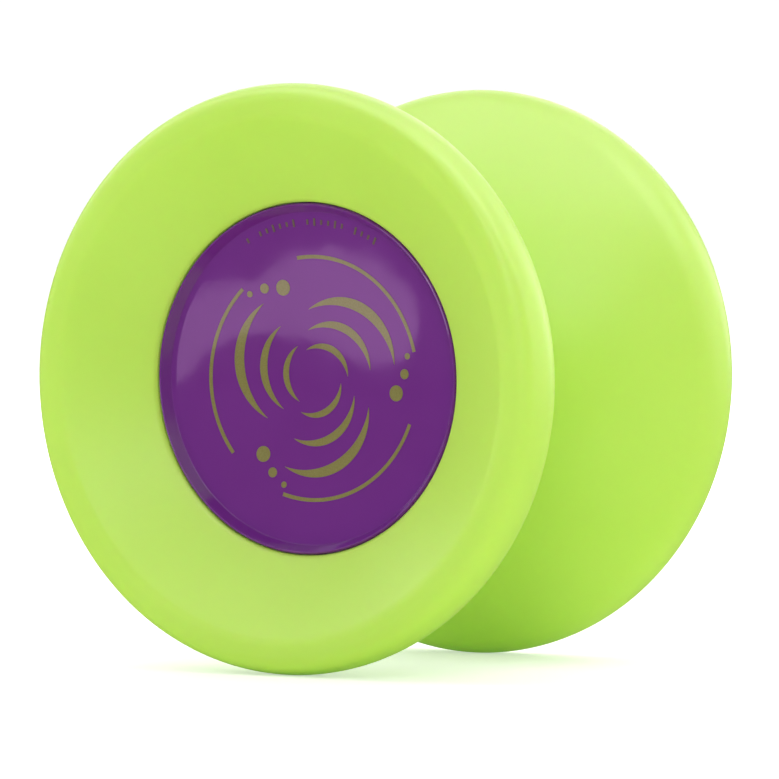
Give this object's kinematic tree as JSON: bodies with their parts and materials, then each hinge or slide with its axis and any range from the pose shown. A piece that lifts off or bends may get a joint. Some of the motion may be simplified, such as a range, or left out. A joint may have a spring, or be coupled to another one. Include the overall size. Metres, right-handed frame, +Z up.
{
  "type": "yo-yo",
  "caption": "Wide butterfly yo-yo with rounded lime plastic halves, dished purple side caps, a ball bearing on a screw axle and a narrow string gap.",
  "frame": {"origin": "middle of the string gap on the spin axis, which is the middle of the whole yo-yo", "axes": "+Y along the axle towards the half that unscrews, +Z up with the yo-yo standing on its two rims"},
  "size_m": [0.07, 0.0504, 0.07],
  "materials": {
    "body_plastic": "satin moulded",
    "cap_plastic": "glossy moulded",
    "cap_ink": "pad-printed metallic ink",
    "nut_brass": "turned",
    "axle_steel": "black oxide",
    "spacer_aluminium": "turned",
    "pad_silicone": "soft matt silicone",
    "bearing_steel": "ground and polished",
    "shield_steel": "stamped",
    "spring_steel": "drawn wire",
    "cage_brass": "satin",
    "ball_steel": "polished"
  },
  "bodies": {
    "left_half": {"left_shell": "body_plastic", "left_cap": "cap_plastic", "left_cap_print": "cap_ink", "left_nut": "nut_brass", "axle": "axle_steel", "left_spacer": "spacer_aluminium", "left_response_pad": "pad_silicone", "bearing_inner_race": "bearing_steel"},
    "bearing_outer": {"bearing_outer_race": "bearing_steel", "bearing_left_shield": "shield_steel", "bearing_right_shield": "shield_steel", "bearing_left_snap_ring": "spring_steel", "bearing_right_snap_ring": "spring_steel"},
    "cage": {"bearing_cage": "cage_brass"},
    "ball_1": {"bearing_ball_1": "ball_steel"},
    "ball_2": {"bearing_ball_2": "ball_steel"},
    "ball_3": {"bearing_ball_3": "ball_steel"},
    "ball_4": {"bearing_ball_4": "ball_steel"},
    "ball_5": {"bearing_ball_5": "ball_steel"},
    "ball_6": {"bearing_ball_6": "ball_steel"},
    "ball_7": {"bearing_ball_7": "ball_steel"},
    "ball_8": {"bearing_ball_8": "ball_steel"},
    "right_spacer_body": {"right_spacer": "spacer_aluminium"},
    "right_half": {"right_shell": "body_plastic", "right_cap": "cap_plastic", "right_cap_print": "cap_ink", "right_nut": "nut_brass", "right_response_pad": "pad_silicone"}
  },
  "joints": [
    {"name": "bearing_spin", "type": "hinge", "parent": "left_half", "child": "bearing_outer", "pos_m": [0, 0, 0], "axis": [0, 1, 0], "continuous": true},
    {"name": "cage_spin", "type": "hinge", "parent": "left_half", "child": "cage", "pos_m": [0, 0, 0], "axis": [0, 1, 0], "continuous": true},
    {"name": "ball_1_spin", "type": "hinge", "parent": "cage", "child": "ball_1", "pos_m": [0.00476, 0, 0], "axis": [0, 1, 0], "continuous": true},
    {"name": "ball_2_spin", "type": "hinge", "parent": "cage", "child": "ball_2", "pos_m": [0.00337, 0, 0.00337], "axis": [0, 1, 0], "continuous": true},
    {"name": "ball_3_spin", "type": "hinge", "parent": "cage", "child": "ball_3", "pos_m": [0, 0, 0.00476], "axis": [0, 1, 0], "continuous": true},
    {"name": "ball_4_spin", "type": "hinge", "parent": "cage", "child": "ball_4", "pos_m": [-0.00337, 0, 0.00337], "axis": [0, 1, 0], "continuous": true},
    {"name": "ball_5_spin", "type": "hinge", "parent": "cage", "child": "ball_5", "pos_m": [-0.00476, 0, 0], "axis": [0, 1, 0], "continuous": true},
    {"name": "ball_6_spin", "type": "hinge", "parent": "cage", "child": "ball_6", "pos_m": [-0.00337, 0, -0.00337], "axis": [0, 1, 0], "continuous": true},
    {"name": "ball_7_spin", "type": "hinge", "parent": "cage", "child": "ball_7", "pos_m": [0, 0, -0.00476], "axis": [0, 1, 0], "continuous": true},
    {"name": "ball_8_spin", "type": "hinge", "parent": "cage", "child": "ball_8", "pos_m": [0.00337, 0, -0.00337], "axis": [0, 1, 0], "continuous": true},
    {"name": "right_half_back_off", "type": "slide", "parent": "left_half", "child": "right_spacer_body", "axis": [0, 1, 0], "range_m": [0, 0.0044]},
    {"name": "right_half_unscrew", "type": "hinge", "parent": "right_spacer_body", "child": "right_half", "pos_m": [0, 0, 0], "axis": [0, 1, 0], "range_deg": [0, 2250]}
  ],
  "couplings": [
    {"joint": "cage_spin", "follows": "bearing_spin", "ratio": 0.58333},
    {"joint": "ball_1_spin", "follows": "bearing_spin", "ratio": 2.9167},
    {"joint": "ball_2_spin", "follows": "bearing_spin", "ratio": 2.9167},
    {"joint": "ball_3_spin", "follows": "bearing_spin", "ratio": 2.9167},
    {"joint": "ball_4_spin", "follows": "bearing_spin", "ratio": 2.9167},
    {"joint": "ball_5_spin", "follows": "bearing_spin", "ratio": 2.9167},
    {"joint": "ball_6_spin", "follows": "bearing_spin", "ratio": 2.9167},
    {"joint": "ball_7_spin", "follows": "bearing_spin", "ratio": 2.9167},
    {"joint": "ball_8_spin", "follows": "bearing_spin", "ratio": 2.9167},
    {"joint": "right_half_back_off", "follows": "right_half_unscrew", "m_per_rad": 0.00011141}
  ]
}
